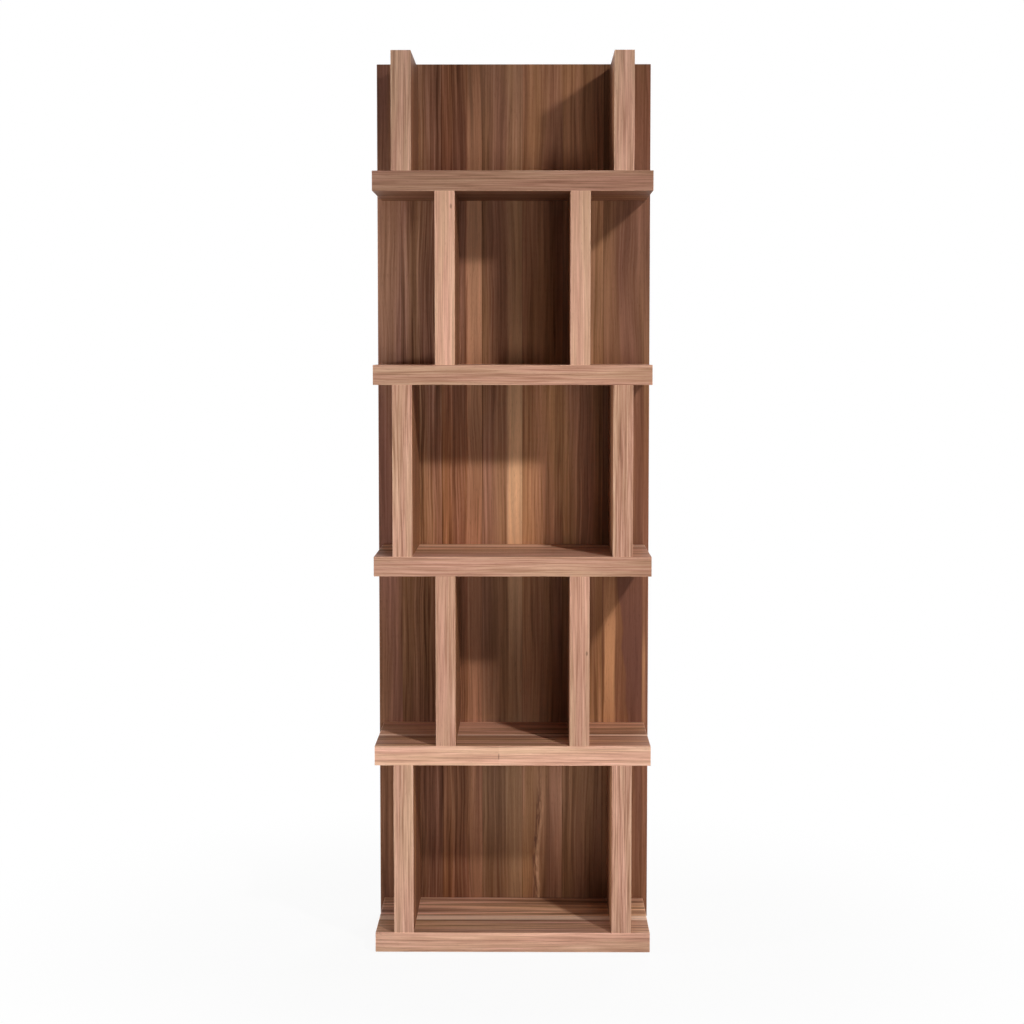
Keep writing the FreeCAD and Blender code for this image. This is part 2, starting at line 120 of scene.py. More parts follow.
class Finish:
    """The nodes of one material, or of the world."""

    def __init__(self, name, kind="materials"):
        self.owner = getattr(bpy.data, kind).new(name)
        self.owner.use_nodes = True
        self.tree = self.owner.node_tree
        self.tree.nodes.clear()

    def node(self, kind, settings=None, inputs=(), output=0):
        made = self.tree.nodes.new(kind)
        for key, value in (settings or {}).items():
            if key == "stops":
                self.set_stops(made.color_ramp, value)
            elif key == "ramp_style":
                made.color_ramp.interpolation = value
            else:
                setattr(made, key, value)
        pairs = inputs.items() if isinstance(inputs, dict) else enumerate(inputs)
        for key, value in pairs:
            socket = made.inputs[key]
            if isinstance(value, Wire):
                self.tree.links.new(value.socket, socket)
            elif socket.type == "RGBA":
                socket.default_value = (*value, 1.0)
            else:
                socket.default_value = value
        return Wire(self, made.outputs[output]) if made.outputs else None

    def set_stops(self, ramp, stops):
        while len(ramp.elements) < len(stops):
            ramp.elements.new(1.0)
        for element, (place, color) in zip(ramp.elements, stops):
            element.position = place
            element.color = (*color, 1.0)

    def parts(self, vector):
        split = self.node("ShaderNodeSeparateXYZ", None, [vector])
        return [Wire(self, socket) for socket in split.socket.node.outputs]

    def vector(self, x, y, z):
        return self.node("ShaderNodeCombineXYZ", None, [x, y, z])

    def place(self):
        """Where a point lies on the piece, in metres."""
        return self.parts(self.node("ShaderNodeTexCoord", output="Object"))

    def normal(self):
        return self.parts(self.node("ShaderNodeNewGeometry", output="Normal"))

    def faces(self, axis):
        """1 on surfaces that face that axis from either side, 0 on others."""
        return abs(self.normal()[axis]).above(FACING_LIMIT)

    def noise(self, where, detail=2.0):
        return self.node(
            "ShaderNodeTexNoise",
            {"noise_dimensions": "3D"},
            {"Vector": where, "Scale": 1.0, "Detail": detail, "Roughness": 0.5},
        )

    def stripes(self, across):
        return self.node(
            "ShaderNodeTexNoise",
            {"noise_dimensions": "1D"},
            {"W": across, "Scale": 1.0, "Detail": 2.0, "Roughness": 0.5},
        )

    def grain(self, place, waves, detail=2.0):
        """Noise with that many waves in a metre along each of three ways."""
        return self.noise(self.vector(*[way * wave for way, wave in zip(place, waves)]), detail)

    def figure(self, across, along, seed, waves, detail=2.0):
        """Noise with that many waves in a metre across and along the grain."""
        return self.noise(self.vector(across * waves[0], along * waves[1], seed), detail)

    def wander(self, across, along, seed, waves, detail=2.0):
        """The same noise, to both sides of 0."""
        return self.figure(across, along, seed, waves, detail) - NOISE_MIDDLE

    def streaks(self, across, along, seed, size):
        """Streaks of about that width and length in metres, spread from 0 to 1."""
        width, length = size
        return self.figure(across, along, seed, (1.0 / width, 1.0 / length)).rise(*STREAK_SPREAD)

    def chance(self, number):
        return self.parts(self.node(
            "ShaderNodeTexWhiteNoise", {"noise_dimensions": "1D"}, {"W": number}, "Color"
        ))

    def ramp(self, value, stops, style="LINEAR"):
        return self.node("ShaderNodeValToRGB", {"stops": stops, "ramp_style": style}, [value])

    def mix(self, share, first, second):
        return self.node(
            "ShaderNodeMix", {"data_type": "RGBA"}, {0: share, 6: first, 7: second}, 2
        )

    def scaled(self, color, value):
        return self.node("ShaderNodeVectorMath", {"operation": "SCALE"}, {0: color, "Scale": value})

    def times(self, color, other):
        return self.node("ShaderNodeVectorMath", {"operation": "MULTIPLY"}, [color, other])

    def surface(self, color, roughness, height, depth, **sockets):
        bump = self.node(
            "ShaderNodeBump", None, {"Strength": 1.0, "Distance": depth, "Height": height}
        )
        shader = self.node(
            "ShaderNodeBsdfPrincipled",
            None,
            {"Base Color": color, "Roughness": roughness, "Normal": bump, **sockets},
        )
        self.node("ShaderNodeOutputMaterial", None, {"Surface": shader})
        return self.owner


HEARTWOOD = [
    (0.00, (0.070, 0.0270, 0.0130)),
    (0.30, (0.195, 0.0840, 0.0430)),
    (0.62, (0.370, 0.1720, 0.0930)),
    (1.00, (0.640, 0.3450, 0.2080)),
]
OLIVE_CAST = (1.01, 1.03, 0.92)
MAUVE_CAST = (0.99, 0.96, 1.06)
SAPWOOD = (0.56, 0.290, 0.168)
PALE_SAPWOOD = (0.98, 0.690, 0.520)
GOLDEN_SAPWOOD = (0.79, 0.458, 0.255)
FLAME_SAPWOOD = (0.72, 0.360, 0.175)
PURPLE_HEART = (0.145, 0.066, 0.042)
PLUM_HEART = (0.170, 0.072, 0.052)

GRAIN_BENDS = [
    # waves in a metre across and along the grain, shift of the seed, reach in metres
    ((6.0, 1.2), 0.0, 0.026),
    ((14.0, 3.0), 2.3, 0.016),
    ((40.0, 7.0), 0.0, 0.004),
]
RINGS_PER_METRE = 120.0
RING_SPREAD = (0.28, 0.72)
RING_WEIGHT = 0.24
WALNUT_STREAKS = [
    # shift of the seed, width and length in metres, weight in the tone
    (1.7, (0.0300, 0.90), 0.22),
    (3.1, (0.0085, 0.42), 0.24),
    (5.3, (0.0038, 0.20), 0.21),
]
VEIN_WAVES = (62.0, 0.9)
VEIN_SHIFT = 6.1
VEIN_WIDTH = (0.006, 0.030)
VEIN_WEIGHT = 0.16
FIBRE_WAVES = (900.0, 11.0)
FIBRE_WEIGHT = 0.16
PORE_WAVES = (1400.0, 60.0)
PORE_SPREAD = (0.60, 0.72)
TONE_DROP = 0.02
CAST_SHIFT = 8.9
CAST_SIZE = (0.060, 0.70)
MIDDLE_TONE = 0.48

# Arrises are paler: partly wear, partly a painted highlight along every edge.
WEAR_AND_HIGHLIGHT_REACH = (0.0009, 0.0024)
WEAR_AND_HIGHLIGHT_RAGGED = 0.0012
WEAR_AND_HIGHLIGHT_STRENGTH = 0.55
WORN_AND_HIGHLIGHT_TONE = 1.32
WORN_SMOOTH = 0.06
PORE_STRENGTH = 0.42
PORE_TONE = 0.45
PORE_ROUGH = 0.14
PORE_DEPTH = 0.00012
PALE_SMOOTH = 0.08
FIBRE_HEIGHT = 0.5
VENEER_ROUGH = 0.50
SOLID_ROUGH = 0.52
LACQUER_SPECULAR = 0.06


def edge_distance(place, node):
    """Distance along the surface to the board's nearest edge."""
    low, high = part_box(node)
    reach = []
    for axis in range(3):
        half = (high[axis] - low[axis]) / 2
        reach.append(half - abs(place[axis] - (low[axis] + half)))
    a, b, c = reach
    return a.least(b).most(a.most(b).least(c))


def veneer_leaf(across, seam):
    """The number of the leaf at a point, and the way across that leaf from 0 to 1."""
    seat = (across - seam) / LEAF_WIDTH
    leaf = seat.floor()
    return leaf, seat - leaf


def streaky(finish, tone, across, along, seed, streaks):
    """A tone with streaks of several sizes added to it."""
    for shift, size, weight in streaks:
        tone = tone + finish.streaks(across, along, seed + shift, size) * weight
    return tone


def walnut_figure(finish, along, inside, pith, depth, seed):
    """Tone, cast, fibre and pores of a leaf cut beside a pith that lies at that depth."""
    lane = (inside - HALF_LEAF) * LEAF_WIDTH
    bent = lane
    for waves, shift, reach in GRAIN_BENDS:
        bent = bent + finish.wander(lane, along, seed + shift, waves) * reach
    ring = ((bent - pith) * (bent - pith) + depth * depth) ** 0.5
    rings = finish.stripes(ring * RINGS_PER_METRE + seed).rise(*RING_SPREAD)
    veins = finish.figure(bent, along, seed + VEIN_SHIFT, VEIN_WAVES, detail=1.0)
    veins = veins.near(NOISE_MIDDLE, *VEIN_WIDTH)
    fibre = finish.figure(bent, along, seed, FIBRE_WAVES)
    pores = finish.figure(bent, along, seed, PORE_WAVES, detail=1.0).rise(*PORE_SPREAD)
    tone = streaky(finish, rings * RING_WEIGHT, bent, along, seed, WALNUT_STREAKS)
    tone = tone + fibre * FIBRE_WEIGHT - TONE_DROP - veins * VEIN_WEIGHT
    cast = finish.streaks(bent, along, seed + CAST_SHIFT, CAST_SIZE)
    return tone, cast, fibre, pores


def walnut_color(finish, tone, cast, tint):
    color = finish.times(finish.ramp(tone, HEARTWOOD), finish.mix(cast, OLIVE_CAST, MAUVE_CAST))
    return finish.times(color, tint)


def finish_wood(finish, color, tone, fibre, pores, edge, rough=VENEER_ROUGH):
    """Lacquered wood: pores sink and darken, arrises are paler from wear and a painted highlight,
    and smoother.
    """
    # paler arrises: wear and a painted highlight
    wear_and_highlight = (1.0 - (edge + fibre * WEAR_AND_HIGHLIGHT_RAGGED).rise(*WEAR_AND_HIGHLIGHT_REACH)) * WEAR_AND_HIGHLIGHT_STRENGTH
    color = finish.mix(pores * PORE_STRENGTH, color, finish.scaled(color, PORE_TONE))
    color = finish.mix(wear_and_highlight, color, finish.scaled(color, WORN_AND_HIGHLIGHT_TONE))
    roughness = rough - tone * PALE_SMOOTH + pores * PORE_ROUGH - wear_and_highlight * WORN_SMOOTH
    height = fibre * FIBRE_HEIGHT - pores
    return finish.surface(
        color, roughness, height, PORE_DEPTH, **{"Specular IOR Level": LACQUER_SPECULAR}
    )


PANEL_LEAVES = [
    # tint, pith in leaf widths from the leaf's middle, depth of the cut under the pith, contrast
    ((0.94, 0.98, 1.15), 1.10, 0.30, 0.60),
    ((0.88, 0.92, 0.96), 1.60, 0.45, 1.00),
    ((0.88, 0.82, 0.80), -1.20, 0.35, 1.00),
    ((0.83, 0.92, 0.99), -1.90, 0.40, 0.60),
    ((1.20, 1.30, 1.30), 0.45, 0.32, 0.58),
    ((1.10, 1.18, 1.20), 1.40, 0.38, 0.60),
    ((0.82, 0.83, 0.86), 0.12, 0.22, 0.50),
    ((0.82, 0.82, 0.84), -1.00, 0.30, 0.55),
]
PITH_SHIFT = 2.0
PITH_SPAN = 4.0
PANEL_TAPER = 0.30
# Broad clouds over the panel: partly the wood's own changes of tone and cast, partly painted light
# and painted shade.
PANEL_TONE_AND_PAINTED_LIGHT = [
    # first and last leaf, middle and reach up the panel in metres, change of tone, lean to mauve
    # painted shade: darker at the top of the top bay
    (-4, -2, 1.95, 0.35, -0.20, 0.0),
    (-1, -1, 1.78, 0.45, 0.15, 0.0),
    # painted light: the shaded right of the top bay made lighter
    (1, 1, 1.78, 0.45, 0.40, 0.0),
    # painted light: the left pocket of the second bay made lighter, with the cool cast of the fill
    # painted in
    (-4, -2, 1.50, 0.40, 0.40, 0.6),
    # painted light: the cool cast of the fill painted into the right pocket of the second bay
    (2, 3, 1.50, 0.40, 0.00, 0.9),
    (1, 1, 1.48, 0.34, -0.25, 0.5),
    (-1, 0, 1.48, 0.36, -0.20, -0.2),
    (-1, 1, 1.08, 0.42, 0.30, 0.1),
    (-4, 0, 0.64, 0.36, -0.24, -0.2),
    (1, 2, 0.62, 0.36, -0.15, -0.35),
    # painted light: the upper part of the lowest bay made lighter, with a cool cast painted in
    (-2, 1, 0.34, 0.28, 0.15, 0.6),
    # painted shade: darker at the foot of the lowest bay
    (-4, 1, 0.06, 0.26, -0.22, -0.2),
]
PLAIN_LEAN = 0.35
BROWN_LEAF = (1.03, 0.95, 0.89)
MAUVE_LEAF = (0.96, 1.02, 1.10)
PANEL_FRONT_LIMIT = 0.150
PANEL_SEEDS = (3.7, 11.0)
REAR_SEED = 40.0
PANEL_SEAM_TONE = 0.70
PANEL_SEAM_WIDTH = 0.035

# A strip's height on the panel: middle and reach in metres, and the least share of it elsewhere.
PALE_STRIP = (1.50, 0.60, 0.34)
GOLDEN_STRIP = (1.08, 0.50, 0.20)
FLAME = (0.66, 0.42, 0.08)
PLUM = (0.66, 0.55, 0.05)

# Which leaf a mark is on, its limits across the leaf from 0 to 1, and its strength.
PALE_LEAF = -2
DUSK_LIMITS = (0.22, 0.30, 0.56, 0.64)
DUSK_STRENGTH = 0.65
PALE_LIMITS = (0.62, 0.66)
PALE_STRENGTH = 0.92
GOLDEN_LEAF = -1
GOLDEN_LIMITS = (0.60, 0.70)
GOLDEN_STRENGTH = 0.90
FLAME_LEAF = 2
FLAME_LIMITS = (0.02, 0.06, 0.28, 0.36)
FLAME_STRENGTH = 0.80
FLAME_WEAKENS = (0.55, 0.85)
FLAME_LOSS = 0.45
PLUM_BORDER = 0.33
PLUM_HEIGHT = 0.83
PLUM_SLOPE = 0.90
PLUM_RAGGED = 0.30
PLUM_SOFT = 0.07
PLUM_STRENGTH = 0.85
RIM_LEAF = 3
RIM_LIMITS = (0.05, 0.10)
RIM_TOP = (0.60, 0.72)
RIM_STRENGTH = 0.5
WAVER_WAVES = (16.0, 4.5)
WAVER_SEED = 5.0
BLOTCH_WAVES = (9.0, 11.0)
BLOTCH_SEED = 8.0
STRIP_WAVER = 0.14
RIM_WAVER = 0.12
MARK_FIBRE = 0.35
MARK_TONE = 0.45
MARK_BASE = 0.50

BARK_LEAF = 0
BARK_WAVER = 0.34
BARK_START = 0.33
BARK_SLOPE = 0.50
BARK_TOP = (0.20, 0.42)
BARK_WAVES = (22.0, 40.0)
BARK_SEED = 3.0
BARK_BREAKS = (0.40, 0.56)
BARK_HEART = (0.02, 0.01, 0.07)
BARK_HEART_STRENGTH = 0.55
BARK_HEART_BROKEN = 0.5
BARK_FLECKS = (-0.06, 0.02, 0.07)
BARK_FLECK_STRENGTH = 0.85


def panel_leaf(finish, leaf):
    """A panel leaf's tint, pith and depth in leaf widths, and contrast, from the list."""
    count = len(PANEL_LEAVES)
    which = (leaf + (count / 2 + HALF_LEAF)) / count
    tints = []
    cuts = []
    for number, (tint, pith, depth, contrast) in enumerate(PANEL_LEAVES):
        tints.append((number / count, tint))
        cuts.append((number / count, ((pith + PITH_SHIFT) / PITH_SPAN, depth, contrast)))
    tint = finish.ramp(which, tints, "CONSTANT")
    pith, depth, contrast = finish.parts(finish.ramp(which, cuts, "CONSTANT"))
    return tint, pith * PITH_SPAN - PITH_SHIFT, depth, contrast


def tone_clouds_and_painted_light(finish, color, leaf, z):
    """A colour with the broad clouds that change the panel's tone and cast: partly the wood's own,
    partly painted light and painted shade.
    """
    lift = 1.0
    lean = PLAIN_LEAN
    for first, last, middle, reach, change, mauve in PANEL_TONE_AND_PAINTED_LIGHT:
        among = leaf.above(first - HALF_LEAF) * (1.0 - leaf.above(last + HALF_LEAF))
        cloud = among * z.near(middle, 0.0, reach)
        lift = lift + cloud * change
        lean = lean + cloud * mauve
    return finish.times(finish.scaled(color, lift), finish.mix(lean, BROWN_LEAF, MAUVE_LEAF))


def strip_share(z, strip):
    """How much of a strip shows at a height."""
    middle, reach, least = strip
    return least + (1.0 - least) * z.near(middle, 0.0, reach)


def bark_line(finish, color, share, inside, z):
    """A pale wandering line with broken dark flecks beside it, low on one leaf."""
    off = inside - BARK_START - z * BARK_SLOPE
    low = share * (1.0 - z.rise(*BARK_TOP))
    broken = finish.figure(inside, z, BARK_SEED, BARK_WAVES).rise(*BARK_BREAKS)
    heart = low * off.near(*BARK_HEART) * (1.0 - broken * BARK_HEART_BROKEN)
    fleck = low * off.near(*BARK_FLECKS) * broken
    color = finish.mix(heart * BARK_HEART_STRENGTH, color, GOLDEN_SAPWOOD)
    return finish.mix(fleck * BARK_FLECK_STRENGTH, color, PURPLE_HEART)


def panel_veneer():
    """Veneer in vertical leaves, with marks of sapwood, heart and bark on the front."""
    finish = Finish("walnut_panel_veneer")
    x, y, z = place = finish.place()
    side = finish.faces(0)
    end = finish.faces(2)
    front = y.below(PANEL_FRONT_LIMIT)
    across = x + side * (y - x) + end * (y - x)
    along = z + end * (x - z)
    leaf, inside = veneer_leaf(across, PANEL_SEAM)
    tint, pith, depth, contrast = panel_leaf(finish, leaf)
    seed = leaf * PANEL_SEEDS[0] + PANEL_SEEDS[1] + (1.0 - front) * REAR_SEED
    depth = (depth + along * PANEL_TAPER) * LEAF_WIDTH
    tone, cast, fibre, pores = walnut_figure(
        finish, along, inside, pith * LEAF_WIDTH, depth, seed
    )
    tone = (tone - MIDDLE_TONE) * contrast + MIDDLE_TONE
    color = tone_clouds_and_painted_light(finish, walnut_color(finish, tone, cast, tint), leaf, z)
    plain = fibre * MARK_FIBRE + tone * MARK_TONE + MARK_BASE

    def on_front(number):
        return leaf.is_number(number) * front

    def marked(color, number, share, wood):
        return finish.mix(on_front(number) * share, color, finish.scaled(wood, plain))

    waver = finish.wander(across, along, WAVER_SEED, WAVER_WAVES, detail=3.0)
    edge_in = inside + waver * STRIP_WAVER
    pale_share = strip_share(z, PALE_STRIP)
    dusk = edge_in.band(*DUSK_LIMITS) * pale_share * DUSK_STRENGTH
    color = marked(color, PALE_LEAF, dusk, PURPLE_HEART)
    pale = edge_in.rise(*PALE_LIMITS) * pale_share * PALE_STRENGTH
    color = marked(color, PALE_LEAF, pale, SAPWOOD)
    gold = edge_in.rise(*GOLDEN_LIMITS) * strip_share(z, GOLDEN_STRIP) * GOLDEN_STRENGTH
    color = marked(color, GOLDEN_LEAF, gold, GOLDEN_SAPWOOD)
    flame_share = strip_share(z, FLAME)
    flame = edge_in.band(*FLAME_LIMITS) * flame_share
    flame = flame * (FLAME_STRENGTH - z.rise(*FLAME_WEAKENS) * FLAME_LOSS)
    color = marked(color, FLAME_LEAF, flame, FLAME_SAPWOOD)
    blotch = finish.wander(across, along, BLOTCH_SEED, BLOTCH_WAVES)
    border = PLUM_BORDER + (PLUM_HEIGHT - z) * PLUM_SLOPE + blotch * PLUM_RAGGED
    plum = (inside - border).rise(0.0, PLUM_SOFT) * strip_share(z, PLUM) * PLUM_STRENGTH
    color = marked(color, FLAME_LEAF, plum, PLUM_HEART)
    rim = 1.0 - (inside + waver * RIM_WAVER).rise(*RIM_LIMITS)
    rim = rim * (1.0 - z.rise(*RIM_TOP)) * flame_share * RIM_STRENGTH
    color = marked(color, RIM_LEAF, rim, FLAME_SAPWOOD)
    color = bark_line(finish, color, on_front(BARK_LEAF), inside + waver * BARK_WAVER, z)
    seam = inside.rise(0.0, PANEL_SEAM_WIDTH)
    color = finish.scaled(color, PANEL_SEAM_TONE + seam * (1.0 - PANEL_SEAM_TONE))
    return finish_wood(finish, color, tone, fibre, pores, edge_distance(place, "back_panel"))


SEAM_WIDTH = 0.0007
SEAM_TONE = 0.60
DRAWN_PITH = (3.0, -1.5)
DRAWN_DEPTH = (0.25, 0.30)
DRAWN_TAPER = 0.25

# Tints of the shelf tops: partly a paler veneer, partly painted light on the tops.
SHELF_TOP_TINTS_AND_PAINTED_LIGHT = {
    1: (2.05, 2.50, 3.05),
    2: (1.75, 1.98, 2.30),
    3: (1.72, 2.00, 2.50),
    4: (1.80, 2.05, 2.50),
    5: (1.80, 2.05, 2.50),
}
# Painted shade on the underside and ends of a shelf.
UNDERSIDE_PAINTED_SHADE = (0.72, 0.70, 0.70)
SHELF_SAPWOOD = {
    # where the pale line on a top starts and ends from front to rear, in metres, and its strength
    1: (-0.0550, -0.0200, 0.95),
    2: (-0.0340, -0.0200, 0.75),
    3: (0.0850, 0.1150, 0.60),
    4: (-0.0340, -0.0200, 0.45),
    5: (-0.0340, -0.0200, 0.45),
}
SAPWOOD_SOFT = 0.004
SAPWOOD_SHARP = 0.001
SAPWOOD_WAVER = 0.015
SAPWOOD_WAVES = (16.0, 3.0)
SAPWOOD_SEED = 2.0
SAPWOOD_FIBRE = 0.24
SAPWOOD_TONE = 0.50
SAPWOOD_BASE = 0.64
SHELF_CONTRAST = 1.15
SHELF_MIDDLE = 0.46
SHELF_PALEST = 0.74
SHELF_TONES = (0.74, 0.22)
REAR_LEAF_LIFT = 0.22
SHELF_CHANCE = (1.31, 5.17)
SHELF_SEEDS = (3.1, 7.3)

UPRIGHT_TINT = (0.90, 0.90, 0.92)
UPRIGHT_CONTRAST = 0.75
UPRIGHT_TONES = (0.85, 0.22)
FRONT_LEAF_LIFT = 0.32
UPRIGHT_CHANCE = (1.77, 3.91)
UPRIGHT_SEEDS = (2.9, 6.1)


def drawn_figure(finish, along, inside, chance, seed):
    """The figure of a leaf whose cut is drawn by chance, and a draw that is left for its tone."""
    draw = finish.chance(chance)
    pith = (draw[0] * DRAWN_PITH[0] + DRAWN_PITH[1]) * LEAF_WIDTH
    depth = (DRAWN_DEPTH[0] + draw[1] * DRAWN_DEPTH[1] + along * DRAWN_TAPER) * LEAF_WIDTH
    return walnut_figure(finish, along, inside, pith, depth, seed), draw[2]


def seamed(finish, color, inside):
    """A colour that darkens in the seams between leaves."""
    seam = (inside.least(1.0 - inside) * LEAF_WIDTH).rise(0.0, SEAM_WIDTH)
    return finish.scaled(color, SEAM_TONE + seam * (1.0 - SEAM_TONE))


def shelf_veneer(level):
    """Veneer with the grain along the shelf and a pale line of sapwood on its top."""
    node = f"shelf_{level}"
    finish = Finish(f"walnut_shelf_veneer_{level}")
    x, y, z = place = finish.place()
    side = finish.faces(0)
    along = x + side * (y - x)
    across = y + (side + finish.faces(1)) * (z - y)
    leaf, inside = veneer_leaf(across, SHELF_SEAM)
    chance = leaf * SHELF_CHANCE[0] + level * SHELF_CHANCE[1]
    seed = leaf * SHELF_SEEDS[0] + level * SHELF_SEEDS[1]
    (tone, cast, fibre, pores), draw = drawn_figure(finish, along, inside, chance, seed)
    tone = ((tone - MIDDLE_TONE) * SHELF_CONTRAST + SHELF_MIDDLE).least(SHELF_PALEST)
    top = finish.normal()[2].above(TOP_LIMIT)
    # By which way a face points: painted light on the top, painted shade on the underside and ends.
    tint = finish.mix(top, UNDERSIDE_PAINTED_SHADE, SHELF_TOP_TINTS_AND_PAINTED_LIGHT[level])
    lift = SHELF_TONES[0] + draw * SHELF_TONES[1] + leaf.above(-HALF_LEAF) * REAR_LEAF_LIFT
    color = finish.scaled(walnut_color(finish, tone, cast, tint), lift)
    waver = finish.wander(across, along, level * SAPWOOD_SEED, SAPWOOD_WAVES, detail=3.0)
    start, stop, strength = SHELF_SAPWOOD[level]
    begun = (across + waver * SAPWOOD_WAVER).rise(start - SAPWOOD_SOFT, start + SAPWOOD_SOFT)
    pale = begun * (1.0 - across.rise(stop - SAPWOOD_SHARP, stop)) * top * strength
    plain = fibre * SAPWOOD_FIBRE + tone * SAPWOOD_TONE + SAPWOOD_BASE
    color = finish.mix(pale, color, finish.scaled(PALE_SAPWOOD, plain))
    color = seamed(finish, color, inside)
    return finish_wood(finish, color, tone, fibre, pores, edge_distance(place, node))


def upright_veneer(level, hand):
    """Veneer with upright grain, paler towards the front edge."""
    node = f"upright_{level}_{hand}"
    finish = Finish(f"walnut_{node}_veneer")
    x, y, z = place = finish.place()
    end = finish.faces(2)
    along = z + end * (y - z)
    across = y + (finish.faces(1) + end) * (x - y)
    leaf, inside = veneer_leaf(across, UPRIGHT_SEAM)
    number = level * 2 + HANDS.index(hand)
    chance = leaf * UPRIGHT_CHANCE[0] + number * UPRIGHT_CHANCE[1]
    seed = leaf * UPRIGHT_SEEDS[0] + number * UPRIGHT_SEEDS[1]
    (tone, cast, fibre, pores), draw = drawn_figure(finish, along, inside, chance, seed)
    tone = (tone - MIDDLE_TONE) * UPRIGHT_CONTRAST + MIDDLE_TONE
    fore = across.below(UPRIGHT_SEAM)
    lift = UPRIGHT_TONES[0] + draw * UPRIGHT_TONES[1] + fore * FRONT_LEAF_LIFT
    color = finish.scaled(walnut_color(finish, tone, cast, UPRIGHT_TINT), lift)
    color = seamed(finish, color, inside)
    return finish_wood(finish, color, tone, fibre, pores, edge_distance(place, node))


PALE_WALNUT = [
    (0.00, (0.215, 0.0960, 0.0580)),
    (0.35, (0.430, 0.2260, 0.1480)),
    (0.70, (0.600, 0.3450, 0.2380)),
    (1.00, (0.780, 0.5000, 0.3700)),
]
PINK_CAST = (1.02, 0.97, 0.99)
STRAW_CAST = (0.99, 1.03, 0.97)
LIPPING_SWAY = (12.0, 2.4)
LIPPING_RIPPLE = (60.0, 14.0)
RIPPLE_SHARE = 0.22
RING_SLANT = 0.6
LIPPING_STREAKS = [
    # shift of the seed, width and length in metres, weight in the tone
    (1.7, (0.0150, 0.60), 0.14),
    (3.1, (0.0046, 0.26), 0.24),
    (5.3, (0.0024, 0.12), 0.34),
]
LIPPING_FIBRE = (1000.0, 14.0, 1000.0)
LIPPING_FIBRE_WEIGHT = 0.22
LIPPING_PORES = (1500.0, 75.0, 1500.0)
LIPPING_PORE_SPREAD = (0.62, 0.74)
LIPPING_TONE_LIFT = 0.03
LIPPING_MIDDLE = 0.50
LIPPING_CAST = (0.020, 0.35)
LIPPING_SEED = 4.3
BUTT_TINT = (1.06, 1.10, 1.10)
BUTT_RAGGED = 0.0006
BUTT_GAP = (0.0006, 0.0022)
NOTCH_REACH = (-0.002, 0.003, 0.009)
NOTCH_TONE = 0.35
KNOT_STRETCH = 0.45
KNOT_RAGGED = 0.0015
KNOT_CORE = 0.4
KNOT_TONE = 0.34
MARK_STRENGTH = 0.7


def edge_lipping(node, lengthwise, number, tint, contrast, waviness, knots, butt=None):
    """A solid strip whose grain runs along its length, with rings seen on its ends."""
    finish = Finish(f"walnut_{node}")
    x, y, z = place = finish.place()
    along, across = (x, z) if lengthwise else (z, x)
    axis = 2 if lengthwise else 0
    low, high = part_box(node)
    lane = across - (low[axis] + high[axis]) / 2
    seed = number * LIPPING_SEED
    sway = finish.wander(lane, along, seed, LIPPING_SWAY)
    ripple = finish.wander(lane, along, seed, LIPPING_RIPPLE)
    bent = lane + sway * waviness + ripple * (waviness * RIPPLE_SHARE)
    ring = bent + y * RING_SLANT
    fibre = finish.grain((bent, along, y), LIPPING_FIBRE)
    pores = finish.grain((bent, along, y), LIPPING_PORES, detail=1.0)
    pores = pores.rise(*LIPPING_PORE_SPREAD)
    tone = fibre * LIPPING_FIBRE_WEIGHT + LIPPING_TONE_LIFT
    tone = streaky(finish, tone, ring, along, seed, LIPPING_STREAKS)
    tone = (tone - LIPPING_MIDDLE) * contrast + LIPPING_MIDDLE
    cast = finish.streaks(ring, along, seed + CAST_SHIFT, LIPPING_CAST)
    color = finish.times(finish.ramp(tone, PALE_WALNUT), finish.mix(cast, STRAW_CAST, PINK_CAST))
    color = finish.times(color, tint)
    if butt is not None:
        beyond = x.above(butt)
        color = finish.mix(beyond, color, finish.times(color, BUTT_TINT))
        notch = (x + ripple * BUTT_RAGGED).near(butt, *BUTT_GAP) * lane.near(*NOTCH_REACH)
        color = finish.mix(notch * MARK_STRENGTH, color, finish.scaled(color, NOTCH_TONE))
    for knot_across, knot_along, radius in knots:
        aside = lane - knot_across
        ahead = (along - knot_along) * KNOT_STRETCH
        far = (aside * aside + ahead * ahead) ** 0.5
        spot = 1.0 - (far + ripple * KNOT_RAGGED).rise(radius * KNOT_CORE, radius)
        color = finish.mix(spot * MARK_STRENGTH, color, finish.scaled(color, KNOT_TONE))
    edge = edge_distance(place, node)
    return finish_wood(finish, color, tone, fibre, pores, edge, SOLID_ROUGH)


BEECH_COLORS = [(0.3, (0.52, 0.34, 0.19)), (0.7, (0.70, 0.50, 0.31))]
BEECH_FLECK_COLOR = (0.38, 0.22, 0.11)
BEECH_FLECK_SPREAD = (0.62, 0.72)
BEECH_FIBRE = (500.0, 500.0, 40.0)
BEECH_FLECKS = (900.0, 900.0, 160.0)
BEECH_FLECK_STRENGTH = 0.4
BEECH_ROUGH = 0.55
BEECH_FIBRE_ROUGH = 0.15
BEECH_BUMP = 0.0001
ZINC_COLORS = [(0.3, (0.52, 0.53, 0.54)), (0.7, (0.74, 0.73, 0.69))]
ZINC_SPANGLE = (260.0, 260.0, 260.0)
ZINC_BRUSHED = (2400.0, 900.0, 60.0)
ZINC_ROUGH = 0.26
ZINC_SPANGLE_ROUGH = 0.16
ZINC_BRUSHED_ROUGH = 0.12
ZINC_SPANGLE_HEIGHT = 0.5
ZINC_BUMP = 0.00004
NYLON_DARK = (0.020, 0.018, 0.017)
NYLON_SCUFFED = (0.055, 0.050, 0.046)
NYLON_SCUFF_SPREAD = (0.5, 0.75)
NYLON_GRAIN = (1800.0, 1800.0, 1800.0)
NYLON_SCUFFS = (300.0, 300.0, 300.0)
NYLON_ROUGH = 0.42
NYLON_SCUFF_ROUGH = 0.2
